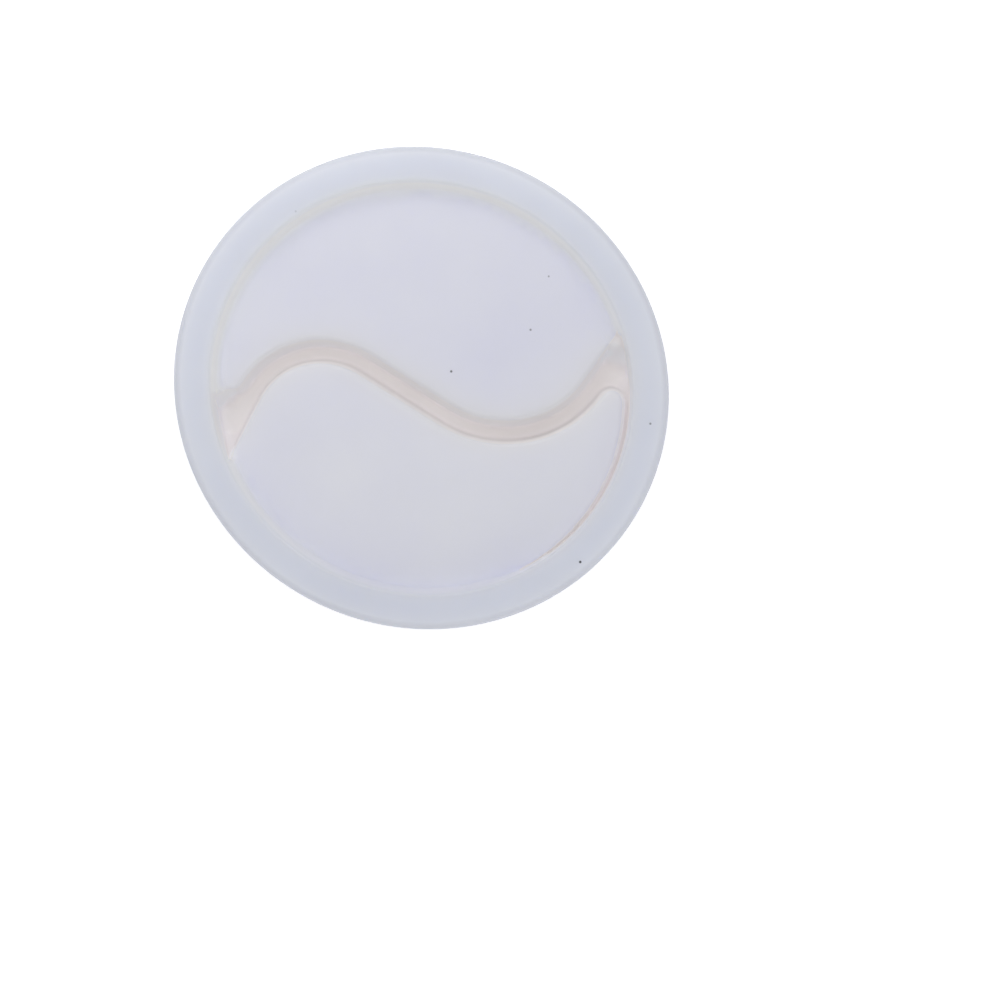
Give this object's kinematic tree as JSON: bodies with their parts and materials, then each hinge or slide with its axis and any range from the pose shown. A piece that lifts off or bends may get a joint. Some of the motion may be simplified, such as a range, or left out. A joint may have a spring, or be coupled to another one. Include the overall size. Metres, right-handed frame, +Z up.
{
  "type": "resin casting mould",
  "caption": "Round translucent silicone casting mould: broad flat rim around comma-shaped cores parted by an S-shaped channel, for casting a divided dish.",
  "frame": {"origin": "centre of the underside, where the mould rests on the bench", "axes": "+Z up out of the open top; +Y towards the upper comma's back, so the S channel runs from the left bend (-X) down to the right bend (+X) as seen from above"},
  "size_m": [0.1, 0.1, 0.012],
  "materials": {
    "silicone": "satin translucent white silicone"
  },
  "bodies": {
    "root": {"base_sheet": "silicone", "rim_wall": "silicone", "lower_comma_core": "silicone", "upper_comma_core": "silicone"}
  },
  "joints": []
}
